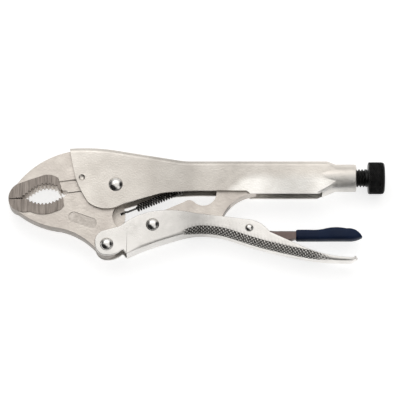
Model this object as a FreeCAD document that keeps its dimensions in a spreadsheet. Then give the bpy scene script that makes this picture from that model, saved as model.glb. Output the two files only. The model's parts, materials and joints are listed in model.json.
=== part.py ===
import FreeCAD, Part
import Sketcher
import math
import os

# Curved-jaw locking pliers lying on their side.
# The profile lies in XY: jaws towards -X, adjusting screw towards +X, upper handle towards +Y.
# The thickness runs along Z. The jaw pivot is on X = Y = 0 and the tool rests on Z = 0.

os.makedirs("parts", exist_ok=True)
doc = FreeCAD.newDocument("locking_pliers")

DRIVING_DIMENSIONS = [
    ("rest_height", 10.6),
    ("upper_half_width", 8.3),
    ("upper_wall", 1.9),
    ("upper_shoulder", 3.6),
    ("lower_half_width", 8.0),
    ("lower_wall", 1.7),
    ("lower_corner", 2.4),
    ("jaw_half_width", 6.1),
    ("grip_half_width", 6.8),
    ("cutter_half_width", 5.3),
    ("tab_half_width", 1.0),
    ("badge_depth", 0.45),
    ("link_half_width", 5.9),
    ("lever_half_width", 3.6),
    ("sleeve_half_width", 4.9),
    ("anchor_foot_half_width", 3.2),
    ("anchor_tongue_half_width", 1.1),
    ("running_clearance", 0.06),
    ("jaw_pin_radius", 3.3),
    ("jaw_head_radius", 4.7),
    ("handle_pin_radius", 3.0),
    ("handle_head_radius", 4.4),
    ("lever_pin_radius", 1.8),
    ("lever_head_radius", 2.7),
    ("lever_head_height", 1.5),
    ("handle_pivot_x", -5.7),
    ("handle_pivot_y", -40.3),
    ("link_pivot_x", 24.3),
    ("link_pivot_y", -27.1),
    ("lever_pivot_x", 87.8),
    ("lever_pivot_y", -29.4),
    ("screw_axis_y", 6.2),
    ("screw_radius", 6.05),
    ("screw_tip_x", 103.5),
    ("barrel_radius", 9.1),
    ("barrel_end_x", 158.6),
    ("knob_start_x", 166.4),
    ("knob_end_x", 177.4),
    ("knob_radius", 10.6),
    ("hook_hole_radius", 1.0),
    ("spring_radius", 1.95),
    ("spring_wire_radius", 0.5),
    ("spring_pitch", 2.0),
    ("spring_ring_radius", 2.0),
    ("spring_near_leg", 6.8),
    ("spring_coil_length", 32.4),
    ("spring_far_leg", 9.6),
    ("spring_angle", 22.4),
    ("hook_hole_x", 3.6),
    ("hook_hole_y", -18.6),
]

sheet = doc.addObject("Spreadsheet::Sheet", "dimensions")
for row, (alias, value) in enumerate(DRIVING_DIMENSIONS, start=1):
    sheet.set("A%d" % row, alias)
    sheet.set("B%d" % row, str(value))
    sheet.setAlias("B%d" % row, alias)
doc.recompute()


def size(alias):
    return float(getattr(sheet, alias))


def bind(target, prop, formula):
    target.setExpression(prop, formula)


def ref(alias):
    return "dimensions." + alias


def plane(body, role):
    return [item for item in body.Origin.OriginFeatures if item.Role == role][0]


def outline_edges(path):
    """Edges of a closed outline: a 2-tuple is a line's end, a 4-tuple an arc's mid and end."""
    edges = []
    last = FreeCAD.Vector(path[0][0], path[0][1], 0)
    for step in list(path[1:]) + [path[0]]:
        end = FreeCAD.Vector(step[-2], step[-1], 0)
        if len(step) == 4:
            middle = FreeCAD.Vector(step[0], step[1], 0)
            edges.append(Part.Arc(last, middle, end))
        elif (end - last).Length > 1e-6:
            edges.append(Part.LineSegment(last, end))
        last = end
    return edges


def sketch_on(body, name, edges, role="XY_Plane"):
    sketch = body.newObject("Sketcher::SketchObject", name)
    sketch.AttachmentSupport = [(plane(body, role), "")]
    sketch.MapMode = "FlatFace"
    sketch.addGeometry(edges, False)
    return sketch


def circle_at(x, y, radius):
    return Part.Circle(FreeCAD.Vector(x, y, 0), FreeCAD.Vector(0, 0, 1), radius)


def new_body(label):
    body = doc.addObject("PartDesign::Body", label)
    bind(body, ".Placement.Base.z", ref("rest_height"))
    return body


def add_slab(body, name, path, half_width):
    """A pad of a closed outline, even about the mid-plane, to a half width named in the sheet."""
    pad = body.newObject("PartDesign::Pad", name)
    pad.Profile = sketch_on(body, name + "_outline", outline_edges(path))
    pad.Midplane = True
    bind(pad, "Length", "2 * " + ref(half_width))
    return pad


def cut_slab(body, name, path, half_width_formula):
    """A pocket of a closed outline, even about the mid-plane."""
    pocket = body.newObject("PartDesign::Pocket", name)
    pocket.Profile = sketch_on(body, name + "_outline", outline_edges(path))
    pocket.Midplane = True
    bind(pocket, "Length", "2 * (%s)" % half_width_formula)
    return pocket


def cut_pin_hole(body, name, pivot, pin):
    """A through bore on a pivot, bigger than its pin by the running clearance."""
    sketch = sketch_on(body, name + "_circle", [circle_at(0, 0, size(pin + "_radius"))])
    radius_constraint = sketch.addConstraint(
        Sketcher.Constraint("Radius", 0, size(pin + "_radius")))
    bind(sketch, "Constraints[%d]" % radius_constraint,
         "%s + %s" % (ref(pin + "_radius"), ref("running_clearance")))
    if pivot:
        bind(sketch, ".AttachmentOffset.Base.x", ref(pivot + "_x"))
        bind(sketch, ".AttachmentOffset.Base.y", ref(pivot + "_y"))
    pocket = body.newObject("PartDesign::Pocket", name)
    pocket.Profile = sketch
    pocket.Midplane = True
    pocket.Type = "ThroughAll"
    return pocket


def turned(body, name, kind, edges):
    """A revolution or groove about the screw's axis; outline heights are radii from that axis."""
    sketch = sketch_on(body, name + "_outline", edges)
    bind(sketch, ".AttachmentOffset.Base.y", ref("screw_axis_y"))
    feature = body.newObject("PartDesign::" + kind, name)
    feature.Profile = sketch
    feature.ReferenceAxis = (sketch, ["H_Axis"])
    feature.Angle = 360
    return feature


def side_edges(shape, half_width, path):
    """Numbers of the edges in the two side planes that join neighbouring points of a path."""
    joints = [(step[-2], step[-1]) for step in path]
    spans = [{first, second} for first, second in zip(joints, joints[1:])]
    found = []
    for number, edge in enumerate(shape.Edges, start=1):
        ends = {(round(vertex.X, 3), round(vertex.Y, 3)) for vertex in edge.Vertexes}
        in_side = all(abs(abs(vertex.Z) - half_width) < 1e-4 for vertex in edge.Vertexes)
        if in_side and ends in spans:
            found.append(number)
    return found


def round_edges(body, name, base, numbers, radius_formula):
    fillet = body.newObject("PartDesign::Fillet", name)
    fillet.Base = (base, ["Edge%d" % number for number in numbers])
    bind(fillet, "Radius", radius_formula)
    return fillet


def toothed_arc(start, middle, end, pitch, depth):
    """Points of a zigzag along an arc: crests on the arc, roots to its left by the depth."""
    arc = Part.Arc(FreeCAD.Vector(*start, 0), FreeCAD.Vector(*middle, 0), FreeCAD.Vector(*end, 0))
    steps = 2 * max(1, round(arc.length() / pitch))
    points = []
    for step in range(1, steps + 1):
        along = arc.FirstParameter + (arc.LastParameter - arc.FirstParameter) * step / steps
        point = arc.value(along)
        tangent = arc.tangent(along)[0]
        if step % 2:
            point = point + FreeCAD.Vector(-tangent.y, tangent.x, 0) * depth
        points.append((point.x, point.y))
    return points


# Upper handle: a folded channel, open below, whose tail is swaged into a round threaded barrel.
upper_handle = new_body("upper_handle")
upper_top = [(-30.6, 25.0), (-16.0, 25.4, 2.0, 23.5), (38.0, 17.6), (45.0, 16.6, 53.0, 16.4),
             (146.0, 16.4)]
upper_bottom = [(146.0, -6.0), (88.5, -6.0), (86.0, -4.3), (56.0, -4.0), (43.0, -4.5, 30.0, -5.9),
                (4.8, -13.1), (-7.0, -16.4, -18.0, -12.2), (-22.6, -4.5, -26.3, 4.1),
                (-28.6, 14.0)]
upper_blank = add_slab(upper_handle, "upper_blank", upper_top + upper_bottom, "upper_half_width")
doc.recompute()
upper_shoulders = side_edges(upper_blank.Shape, size("upper_half_width"), upper_top)
round_edges(upper_handle, "upper_shoulder_rounds", upper_blank, upper_shoulders,
            ref("upper_shoulder"))

# The tail tapers from the channel's rounded rectangle to the barrel.
taper_start = (133.0, 14.0)
taper_end = (145.0, size("barrel_radius"))
turned(upper_handle, "tail_taper", "Groove", outline_edges([
    taper_start, (taper_start[0], 20.0), (147.0, 20.0), (147.0, taper_end[1]), taper_end]))
barrel_end = size("barrel_end_x")
turned(upper_handle, "barrel", "Revolution", outline_edges([
    (131.0, 0.0), (barrel_end, 0.0), (barrel_end, size("barrel_radius") - 0.6),
    (barrel_end - 0.6, size("barrel_radius")), (144.0, size("barrel_radius")), (131.0, 7.9)]))

wall = size("upper_wall")
void_top = [(-45.0, 25.0 - wall), (-30.6, 25.0 - wall), (-16.0, 25.4 - wall, 1.7, 23.5 - wall),
            (37.7, 17.6 - wall), (45.0, 16.6 - wall, 53.0, 16.4 - wall), (136.0, 16.4 - wall)]
void_bottom = [(136.0, -25.0), (-45.0, -25.0)]
cut_slab(upper_handle, "upper_void", void_top + void_bottom,
         ref("upper_half_width") + " - " + ref("upper_wall"))
cut_pin_hole(upper_handle, "jaw_pivot_hole", None, "jaw_pin")
bore_radius = size("screw_radius") + size("running_clearance")
turned(upper_handle, "screw_bore", "Groove", outline_edges([
    (130.0, 0.0), (170.0, 0.0), (170.0, bore_radius), (130.0, bore_radius)]))

# A round dimple is pressed into each side plate where the fixed jaw is welded in.
DIMPLE_PLACE = (-22.3, 4.6)
DIMPLE_RADIUS = 3.0
DIMPLE_CENTRE_RISE = 2.1
for dimple_name, sign in (("front_dimple", ""), ("back_dimple", "-")):
    dimple = upper_handle.newObject("PartDesign::SubtractiveSphere", dimple_name)
    dimple.Radius = DIMPLE_RADIUS
    dimple.AttachmentSupport = [(plane(upper_handle, "XY_Plane"), "")]
    dimple.MapMode = "FlatFace"
    dimple.AttachmentOffset = FreeCAD.Placement(
        FreeCAD.Vector(*DIMPLE_PLACE, 0), FreeCAD.Rotation())
    bind(dimple, ".AttachmentOffset.Base.z",
         "%s(%s + %s)" % (sign, ref("upper_half_width"), DIMPLE_CENTRE_RISE))

# Fixed jaw: a forged blank held between the channel's side plates, with a wider toothed grip.
TOOTH_PITCH = 2.3
TOOTH_DEPTH = 1.4
HUB_RADIUS = 10.4
HUB_GAP = 0.5


def on_circle(radius, degrees):
    return (radius * math.cos(math.radians(degrees)), radius * math.sin(math.radians(degrees)))


upper_teeth = ([(-70.6, -9.4), (-66.0, -9.4), (-65.3, -8.8), (-64.6, -9.4), (-63.9, -8.8),
                (-63.2, -9.4), (-62.4, -8.6), (-61.2, -9.2)]
               + toothed_arc((-61.2, -9.2), (-56.2, -5.1), (-49.5, -0.9), TOOTH_PITCH, TOOTH_DEPTH)
               + toothed_arc((-49.5, -0.9), (-43.4, -0.5), (-38.2, -2.2), TOOTH_PITCH, TOOTH_DEPTH)
               + [(-36.9, -4.2), (-36.0, -4.5)])
fixed_jaw = new_body("fixed_jaw")
clearance_radius = HUB_RADIUS + HUB_GAP
UPPER_NOSE = (-65.3, 0.4)
fixed_profile = [
    UPPER_NOSE, (-62.0, -3.0), (-50.0, 1.6), (-39.0, 2.0), (-27.0, 3.6),
    on_circle(clearance_radius, 168),
    on_circle(clearance_radius, 115) + on_circle(clearance_radius, 60),
    (9.0, 11.0), (11.5, 19.6), (2.0, 21.3), (-16.0, 23.1, -30.6, 22.7),
    (-49.0, 15.4) + UPPER_NOSE]
add_slab(fixed_jaw, "fixed_blank", fixed_profile, "jaw_half_width")
fixed_grip = upper_teeth + [
    (-36.3, -0.8), (-38.2, 4.9), (-41.0, 6.3, -49.5, 5.9), (-57.0, 3.4) + UPPER_NOSE,
    (-69.4, -4.1, -70.6, -9.4)]
add_slab(fixed_jaw, "fixed_grip", fixed_grip, "grip_half_width")
fixed_cutter = [(-38.6, 3.4), (-37.4, -0.6), (-35.0, -3.9), (-33.2, -3.8), (-31.3, -5.1),
                (-23.8, -4.1), (-12.6, -2.9), on_circle(clearance_radius, 168), (-11.5, 3.4)]
add_slab(fixed_jaw, "fixed_cutter", fixed_cutter, "cutter_half_width")

# Lower jaw: the same thickness of forging, turning on the hub, with a thin tab for the spring.
lower_jaw = new_body("lower_jaw")
lower_teeth = ([(-35.6, -7.6)]
               + toothed_arc((-35.6, -7.6), (-45.8, -12.1), (-57.0, -9.9), TOOTH_PITCH, TOOTH_DEPTH)
               + [(-59.0, -9.7), (-70.6, -9.7)])
LOWER_NOSE = (-64.6, -17.4)
lower_profile = [
    LOWER_NOSE, (-50.8, -25.5, -36.0, -29.2), (-24.0, -33.9, -12.6, -43.0),
    (-6.6, -47.5, 0.9, -43.6), (1.5, -40.0), (1.4, -28.6), (-2.1, -21.0, 0.4, -14.6),
    on_circle(HUB_RADIUS, -62), on_circle(HUB_RADIUS, 66) + on_circle(HUB_RADIUS, 196),
    (-13.0, -9.3), (-21.0, -9.6), (-38.0, -11.4), (-50.0, -15.0), (-60.0, -14.0)]
add_slab(lower_jaw, "lower_blank", lower_profile, "jaw_half_width")
lower_grip = lower_teeth + [
    (-69.4, -13.8) + LOWER_NOSE, (-61.0, -18.5), (-56.0, -18.2), (-48.0, -19.9, -40.0, -18.2),
    (-36.0, -16.6), (-33.9, -14.2), (-34.7, -8.8)]
add_slab(lower_jaw, "lower_grip", lower_grip, "grip_half_width")
lower_cutter = [(-36.4, -12.0), (-35.8, -9.2), (-33.6, -7.4), (-31.5, -5.6), (-23.8, -4.5),
                (-12.4, -3.3), on_circle(HUB_RADIUS - 1.0, 196), (-11.0, -11.4)]
add_slab(lower_jaw, "lower_cutter", lower_cutter, "cutter_half_width")
spring_tab = [(-3.0, -11.0), (3.4, -11.0), (6.2, -18.0, 5.4, -25.0), (3.0, -30.0), (-3.0, -30.0)]
add_slab(lower_jaw, "spring_tab", spring_tab, "tab_half_width")
hook_sketch = sketch_on(lower_jaw, "hook_circle", [circle_at(0, 0, size("hook_hole_radius"))])
bind(hook_sketch, ".AttachmentOffset.Base.x", ref("hook_hole_x"))
bind(hook_sketch, ".AttachmentOffset.Base.y", ref("hook_hole_y"))
hook_pocket = lower_jaw.newObject("PartDesign::Pocket", "hook_hole")
hook_pocket.Profile = hook_sketch
hook_pocket.Midplane = True
hook_pocket.Type = "ThroughAll"
cut_pin_hole(lower_jaw, "jaw_hub_bore", None, "jaw_pin")
cut_pin_hole(lower_jaw, "jaw_heel_bore", "handle_pivot", "handle_pin")
badge_path = [(-26.6, -18.2), (-15.2, -22.3), (-12.4, -25.6, -16.4, -29.2), (-27.8, -25.1),
              (-31.0, -21.4, -26.6, -18.2)]
badge = sketch_on(lower_jaw, "badge_outline", outline_edges(badge_path))
bind(badge, ".AttachmentOffset.Base.z", "%s - %s" % (ref("jaw_half_width"), ref("badge_depth")))
badge_pocket = lower_jaw.newObject("PartDesign::Pocket", "badge_recess")
badge_pocket.Profile = badge
badge_pocket.Reversed = True
bind(badge_pocket, "Length", "2 * " + ref("badge_depth"))

# Lower handle: a folded channel, open above, with ears round the jaw's heel.
lower_handle = new_body("lower_handle")
lower_bottom = [(7.2, -47.0), (24.0, -40.3, 42.0, -34.6), (60.0, -33.1, 76.0, -36.2),
                (101.0, -44.0, 127.0, -49.5), (141.0, -50.9, 155.5, -51.0)]
lower_top = [(158.8, -48.4), (152.0, -48.4), (134.0, -45.6, 120.0, -40.6), (101.2, -31.9),
             (94.0, -25.6, 85.0, -23.4), (52.0, -19.3), (38.0, -17.4, 26.0, -18.0),
             (13.5, -21.6, 3.0, -28.2), (-6.8, -30.9), (-12.2, -34.2, -13.4, -40.3),
             (-11.2, -45.8, -5.7, -47.9), (0.2, -46.9, 4.7, -43.9)]
lower_blank = add_slab(lower_handle, "lower_blank_solid", lower_bottom + lower_top,
                       "lower_half_width")
doc.recompute()
lower_corners = side_edges(lower_blank.Shape, size("lower_half_width"), lower_bottom)
round_edges(lower_handle, "lower_corner_rounds", lower_blank, lower_corners, ref("lower_corner"))
web = size("lower_wall")
cut_slab(lower_handle, "lower_void", [
    (5.9, -60.0), (5.9, -46.5 + web), (7.9, -47.0 + web),
    (24.6, -40.4 + web, 42.2, -34.6 + web), (60.0, -33.1 + web, 75.8, -36.2 + web),
    (100.7, -44.0 + web, 126.7, -49.5 + web), (141.0, -50.9 + web, 155.0, -51.0 + web),
    (157.2, -46.0), (157.2, -10.0), (-25.0, -10.0), (-25.0, -60.0)],
    ref("lower_half_width") + " - " + ref("lower_wall"))
cut_pin_hole(lower_handle, "ear_bore", "handle_pivot", "handle_pin")
cut_pin_hole(lower_handle, "link_bore", "link_pivot", "handle_pin")
cut_pin_hole(lower_handle, "lever_bore", "lever_pivot", "lever_pin")

# Toggle link: from its pivot in the lower handle to a rounded end against the screw's tip.
toggle_link = new_body("toggle_link")
add_slab(toggle_link, "link_blank", [
    (27.5, -32.6), (17.9, -29.3, 20.6, -21.9), (45.1, -11.4), (48.6, -10.2, 51.4, -11.3),
    (58.5, -13.9, 66.3, -6.0), (69.0, 2.5, 76.0, 7.6), (93.5, 9.2), (99.9, 5.5, 96.4, 1.6),
    (92.4, -5.3), (79.0, -10.0, 71.1, -19.1), (66.0, -25.5, 56.0, -28.2), (40.0, -30.6)],
    "link_half_width")
cut_pin_hole(toggle_link, "link_eye", "link_pivot", "handle_pin")

# Release lever: its nose lies under the toggle link and its tail carries the sleeve.
release_lever = new_body("release_lever")
lever_blank = add_slab(release_lever, "lever_blank", [
    (74.6, -28.6), (73.6, -26.3, 76.2, -25.2), (90.0, -25.6), (99.0, -29.6, 108.0, -30.4),
    (150.0, -30.6), (153.6, -32.4, 150.0, -34.2), (118.0, -35.2), (108.0, -36.8, 98.0, -35.2),
    (86.0, -33.6)], "lever_half_width")
doc.recompute()
lever_back = side_edges(lever_blank.Shape, size("lever_half_width"),
                        [(90.0, -25.6), (108.0, -30.4), (150.0, -30.6)])
round_edges(release_lever, "lever_back_rounds", lever_blank, lever_back, "1.3")
cut_pin_hole(release_lever, "lever_eye", "lever_pivot", "lever_pin")

# Vinyl sleeve: dipped over the lever's tail, so the tail's own solid is cut out of it.
sleeve_blank = new_body("sleeve_blank")
sleeve_slab = add_slab(sleeve_blank, "sleeve_slab", [
    (117.6, -36.5), (157.0, -36.5), (161.6, -35.9, 162.2, -34.0), (159.2, -30.2, 152.0, -28.3),
    (145.5, -27.5, 138.5, -28.2), (133.5, -29.2, 128.0, -29.3), (118.4, -29.3)],
    "sleeve_half_width")
doc.recompute()
sleeve_corners = side_edges(sleeve_slab.Shape, size("sleeve_half_width"), [
    (117.6, -36.5), (157.0, -36.5), (162.2, -34.0), (152.0, -28.3), (138.5, -28.2),
    (128.0, -29.3), (118.4, -29.3)])
round_edges(sleeve_blank, "sleeve_rounds", sleeve_slab, sleeve_corners, "2.2")
lever_sleeve = doc.addObject("Part::Cut", "lever_sleeve")
lever_sleeve.Base = sleeve_blank
lever_sleeve.Tool = release_lever

# Adjusting screw and its knurled knob, turned about the screw's axis.
adjusting_screw = new_body("adjusting_screw")
tip_x = size("screw_tip_x")
shank_end_x = size("knob_start_x") + 6.0
turned(adjusting_screw, "screw_shank", "Revolution", outline_edges([
    (tip_x, 0.0), (shank_end_x, 0.0), (shank_end_x, 4.5), (size("knob_start_x"), 4.5),
    (size("knob_start_x"), size("screw_radius")), (tip_x + 4.0, size("screw_radius")),
    (tip_x, 3.2)]))
adjusting_knob = new_body("adjusting_knob")
knob_radius = size("knob_radius")
knob_start = size("knob_start_x")
knob_end = size("knob_end_x")
turned(adjusting_knob, "knob_turning", "Revolution", outline_edges([
    (knob_start, 4.5), (knob_start, knob_radius - 0.9),
    (knob_start + 0.25, knob_radius - 0.25, knob_start + 0.9, knob_radius),
    (knob_end - 2.6, knob_radius), (knob_end - 0.8, knob_radius - 0.8, knob_end, knob_radius - 2.6),
    (knob_end, 0.0), (shank_end_x, 0.0), (shank_end_x, 4.5)]))


# Rivets: a domed head on the front side, a plain shank and a flat formed tail on the back.
def add_rivet(label, pivot, pin, seat, head_height):
    rivet = new_body(label)
    pin_radius = size(pin + "_radius")
    head_radius = size(pin.replace("pin", "head") + "_radius")
    seat_z = size(seat)
    top_z = seat_z + head_height
    tail_radius = head_radius - 0.5
    cap_radius = (head_radius ** 2 + head_height ** 2) / (2 * head_height)
    middle_radius = head_radius * 0.55
    middle_z = top_z - cap_radius + math.sqrt(cap_radius ** 2 - middle_radius ** 2)
    sketch = sketch_on(rivet, label + "_outline", outline_edges([
        (0.0, -top_z), (tail_radius - 0.6, -top_z), (tail_radius, -top_z + 0.6),
        (tail_radius, -seat_z), (pin_radius, -seat_z), (pin_radius, seat_z),
        (head_radius, seat_z), (middle_radius, middle_z, 0.0, top_z)]), "XZ_Plane")
    feature = rivet.newObject("PartDesign::Revolution", label + "_turning")
    feature.Profile = sketch
    feature.ReferenceAxis = (sketch, ["V_Axis"])
    feature.Angle = 360
    if pivot:
        bind(rivet, ".Placement.Base.x", ref(pivot + "_x"))
        bind(rivet, ".Placement.Base.y", ref(pivot + "_y"))
    return rivet


full_height = size("rest_height")
rivets = [
    add_rivet("jaw_pivot_rivet", None, "jaw_pin", "upper_half_width",
              full_height - size("upper_half_width")),
    add_rivet("handle_pivot_rivet", "handle_pivot", "handle_pin", "lower_half_width",
              full_height - size("lower_half_width")),
    add_rivet("link_pivot_rivet", "link_pivot", "handle_pin", "lower_half_width",
              full_height - size("lower_half_width")),
    add_rivet("lever_pivot_rivet", "lever_pivot", "lever_pin", "lower_half_width",
              size("lever_head_height")),
]

# Extension spring: a coil with a straight leg to a ring at each end, one through the jaw's tab.
coil_length = size("spring_coil_length")
coil_radius = size("spring_radius")
wire = size("spring_wire_radius")
ring_radius = size("spring_ring_radius")
near_leg = size("spring_near_leg")
far_leg = size("spring_far_leg")
coil_start = 2 * ring_radius + near_leg
far_ring_centre = coil_start + coil_length + far_leg + ring_radius


def leg_with_ring(coil_end, leg_length, direction):
    """A straight leg along the spring's axis that ends in a ring of the same wire."""
    base = FreeCAD.Vector(0, 0, coil_end)
    leg = Part.makeCylinder(wire, leg_length, base, FreeCAD.Vector(0, 0, direction))
    centre = FreeCAD.Vector(0, 0, coil_end + direction * (leg_length + ring_radius))
    ring = Part.makeTorus(ring_radius, wire, centre, FreeCAD.Vector(0, 1, 0))
    spoke = Part.makeCylinder(wire, coil_radius, base, FreeCAD.Vector(1, 0, 0))
    return leg.fuse([ring, spoke])


helix = Part.makeHelix(size("spring_pitch"), coil_length, coil_radius)
wire_section = Part.Circle(FreeCAD.Vector(coil_radius, 0, 0), FreeCAD.Vector(0, 1, 0), wire)
coil = Part.Wire(helix.Edges).makePipeShell([Part.Wire([wire_section.toShape()])], True, True)
coil.translate(FreeCAD.Vector(0, 0, coil_start))
extension_spring = doc.addObject("Part::Feature", "extension_spring")
extension_spring.Shape = coil.fuse([leg_with_ring(coil_start, near_leg, -1),
                                    leg_with_ring(coil_start + coil_length, far_leg, 1)])
spring_angle = math.radians(size("spring_angle"))
spring_turn = FreeCAD.Rotation(FreeCAD.Vector(0, 0, 1), size("spring_angle")).multiply(
    FreeCAD.Rotation(FreeCAD.Vector(0, 1, 0), 90))
extension_spring.Placement = FreeCAD.Placement(
    FreeCAD.Vector(size("hook_hole_x"), size("hook_hole_y"), size("rest_height")), spring_turn)

# Spring anchor: a folded bracket welded under the channel's roof, its tongue in the far ring.
anchor_x = size("hook_hole_x") + math.cos(spring_angle) * far_ring_centre
anchor_y = size("hook_hole_y") + math.sin(spring_angle) * far_ring_centre
roof_y = 16.4 - wall
spring_anchor = new_body("spring_anchor")
add_slab(spring_anchor, "anchor_foot", [
    (anchor_x - 0.8, roof_y), (anchor_x - 0.8, roof_y - 1.6), (anchor_x + 7.0, roof_y - 1.6),
    (anchor_x + 7.0, roof_y)], "anchor_foot_half_width")
add_slab(spring_anchor, "anchor_tongue", [
    (anchor_x - 0.8, roof_y - 0.5), (anchor_x - 0.8, anchor_y - 2.4),
    (anchor_x + 0.8, anchor_y - 2.4), (anchor_x + 0.8, roof_y - 0.5)], "anchor_tongue_half_width")

kept_parts = [upper_handle, fixed_jaw, spring_anchor, extension_spring, lower_jaw, lower_handle,
              toggle_link, release_lever, lever_sleeve, adjusting_screw, adjusting_knob] + rivets
doc.recompute()
for item in doc.Objects:
    if "Invalid" in item.State or "Error" in item.State:
        raise RuntimeError("%s failed: %s" % (item.Label, item.State))
for item in kept_parts:
    if item.Shape.isNull() or not item.Shape.isValid():
        raise RuntimeError("%s has no valid shape" % item.Label)
for item in kept_parts:
    item.Shape.exportStep("parts/%s.step" % item.Label)
    print("%-20s %8.1f mm3  %d solids" % (item.Label, item.Shape.Volume, len(item.Shape.Solids)))
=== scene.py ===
import json
import math

import bmesh
import bpy
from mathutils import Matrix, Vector
from mathutils.bvhtree import BVHTree

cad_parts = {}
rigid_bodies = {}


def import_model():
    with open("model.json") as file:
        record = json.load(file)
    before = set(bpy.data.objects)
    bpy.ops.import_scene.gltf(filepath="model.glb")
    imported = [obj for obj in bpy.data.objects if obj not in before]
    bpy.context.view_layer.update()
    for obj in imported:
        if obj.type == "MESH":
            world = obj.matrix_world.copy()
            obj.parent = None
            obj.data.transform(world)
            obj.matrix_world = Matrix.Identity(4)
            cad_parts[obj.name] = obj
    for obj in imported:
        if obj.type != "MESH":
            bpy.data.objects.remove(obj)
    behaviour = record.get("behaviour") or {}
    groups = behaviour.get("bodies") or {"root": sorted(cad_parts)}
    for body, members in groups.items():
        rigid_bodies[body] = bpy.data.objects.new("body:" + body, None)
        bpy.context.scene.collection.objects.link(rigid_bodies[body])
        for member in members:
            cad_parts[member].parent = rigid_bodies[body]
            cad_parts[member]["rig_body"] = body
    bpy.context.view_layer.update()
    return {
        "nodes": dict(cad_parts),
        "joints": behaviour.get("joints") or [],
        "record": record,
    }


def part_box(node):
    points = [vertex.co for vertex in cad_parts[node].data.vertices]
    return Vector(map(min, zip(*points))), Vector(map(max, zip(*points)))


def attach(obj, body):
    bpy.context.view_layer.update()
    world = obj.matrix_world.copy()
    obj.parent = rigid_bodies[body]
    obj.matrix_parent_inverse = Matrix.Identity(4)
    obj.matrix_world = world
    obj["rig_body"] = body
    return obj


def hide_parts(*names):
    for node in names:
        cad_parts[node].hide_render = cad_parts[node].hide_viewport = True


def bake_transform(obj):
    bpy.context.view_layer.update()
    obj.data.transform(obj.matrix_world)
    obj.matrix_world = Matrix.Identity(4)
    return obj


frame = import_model()
nodes = frame["nodes"]
joints = {joint["name"]: joint for joint in frame["joints"]}
subparts = frame["record"]["subparts"]
slots = {subpart["node"]: subpart["material_slot"] for subpart in subparts}
bodies = {subpart["node"]: nodes[subpart["node"]]["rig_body"] for subpart in subparts}
MM = 0.001

# The pliers lie on their side: the profile is in XY and the thickness runs along Z.
JAW_PIVOT = Vector(joints["jaw_pivot"]["pos_m"])
MID_Z = JAW_PIVOT.z


# ---------------------------------------------------------------- materials

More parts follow.
